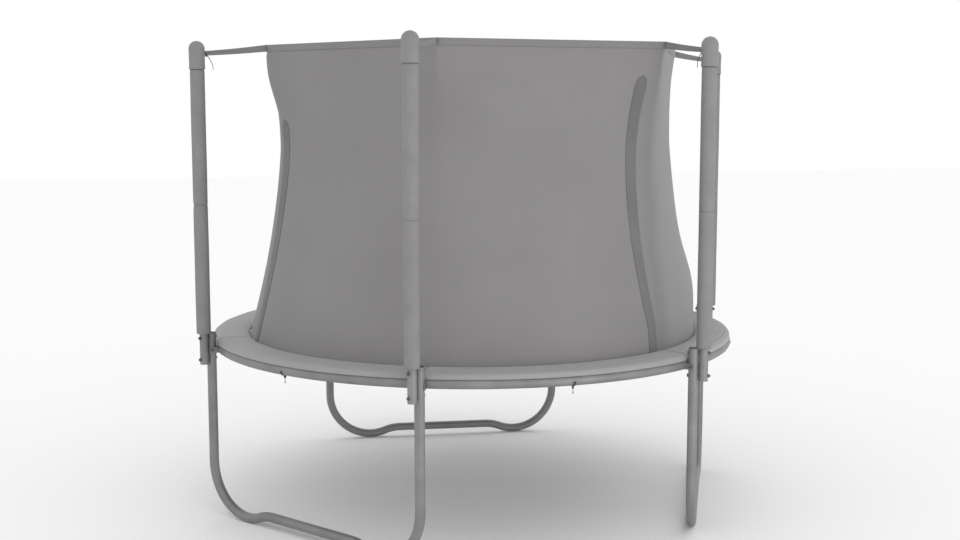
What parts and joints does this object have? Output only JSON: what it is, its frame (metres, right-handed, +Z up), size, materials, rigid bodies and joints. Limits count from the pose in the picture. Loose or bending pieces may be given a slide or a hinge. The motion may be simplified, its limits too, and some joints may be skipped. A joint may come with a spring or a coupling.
{
  "type": "garden trampoline",
  "caption": "Round garden trampoline: sprung mat in a tubular ring on W-shaped legs, with padded poles and a safety net strapped to the pole caps.",
  "frame": {"origin": "centre of the object's footprint on the ground, which is the centre of the jumping ring within a few millimetres", "axes": "+Z up; the rear leg, with the doorway seam beside it, faces nearly +Y; the other two legs face -144 and -25 degrees round from +X"},
  "size_m": [2.6126, 2.44, 2.1199],
  "materials": {
    "galvanised_tube": "satin zinc coating",
    "foam_sleeve": "matt closed-cell foam under a thin woven cover",
    "moulded_cap": "fine moulded grain",
    "webbing": "ribbed polyester webbing",
    "net_fabric": "close knitted polyester mesh",
    "net_band": "woven tape sewn on both edges",
    "fastener": "blackened zinc",
    "moulded_black": "matt moulded plastic",
    "mat_weave": "tight woven polypropylene",
    "spring_steel": "bright galvanised wire",
    "pad_cover": "coated woven cover over foam, sewn radial seams",
    "elastic_tie": "braided elastic with a wire hook"
  },
  "bodies": {
    "frame": {"ring_segment_1": "galvanised_tube", "ring_segment_2": "galvanised_tube", "ring_segment_3": "galvanised_tube", "ring_segment_4": "galvanised_tube", "ring_segment_5": "galvanised_tube", "ring_segment_6": "galvanised_tube", "leg_base_1": "galvanised_tube", "leg_base_2": "galvanised_tube", "leg_base_3": "galvanised_tube", "leg_upright_1": "galvanised_tube", "leg_upright_2": "galvanised_tube", "leg_upright_3": "galvanised_tube", "leg_upright_4": "galvanised_tube", "leg_upright_5": "galvanised_tube", "leg_upright_6": "galvanised_tube", "pole_lower_1": "galvanised_tube", "pole_lower_2": "galvanised_tube", "pole_lower_3": "galvanised_tube", "pole_lower_4": "galvanised_tube", "pole_lower_5": "galvanised_tube", "pole_lower_6": "galvanised_tube", "pole_upper_1": "galvanised_tube", "pole_upper_2": "galvanised_tube", "pole_upper_3": "galvanised_tube", "pole_upper_4": "galvanised_tube", "pole_upper_5": "galvanised_tube", "pole_upper_6": "galvanised_tube", "foam_sleeve_1": "foam_sleeve", "foam_sleeve_2": "foam_sleeve", "foam_sleeve_3": "foam_sleeve", "foam_sleeve_4": "foam_sleeve", "foam_sleeve_5": "foam_sleeve", "foam_sleeve_6": "foam_sleeve", "pole_cap_1": "moulded_cap", "pole_cap_2": "moulded_cap", "pole_cap_3": "moulded_cap", "pole_cap_4": "moulded_cap", "pole_cap_5": "moulded_cap", "pole_cap_6": "moulded_cap", "corner_strap_1": "webbing", "corner_strap_2": "webbing", "corner_strap_3": "webbing", "corner_strap_4": "webbing", "corner_strap_5": "webbing", "corner_strap_6": "webbing", "net_panel_1": "net_fabric", "net_panel_2": "net_fabric", "net_panel_3": "net_fabric", "frame_bolts": "fastener", "pole_bolts": "fastener", "nuts": "fastener", "pole_saddles": "moulded_black", "springs": "spring_steel", "spring_pad": "pad_cover", "pad_ties": "elastic_tie", "seam_bands": "net_band"},
    "mat": {"jumping_mat": "mat_weave", "mat_rings": "spring_steel"},
    "door_slider": {"door_slider": "moulded_black"}
  },
  "joints": [
    {"name": "mat_bounce", "type": "slide", "parent": "frame", "child": "mat", "axis": [0, 0, 1], "range_m": [-0.15, 0], "stiffness_N_per_m": 6000, "springref_m": 0.03, "deforming": ["springs"]},
    {"name": "door_zip", "type": "slide", "parent": "frame", "child": "door_slider", "axis": [0.0102, -0.0076, 0.9999], "range_m": [0, 0.42]}
  ]
}
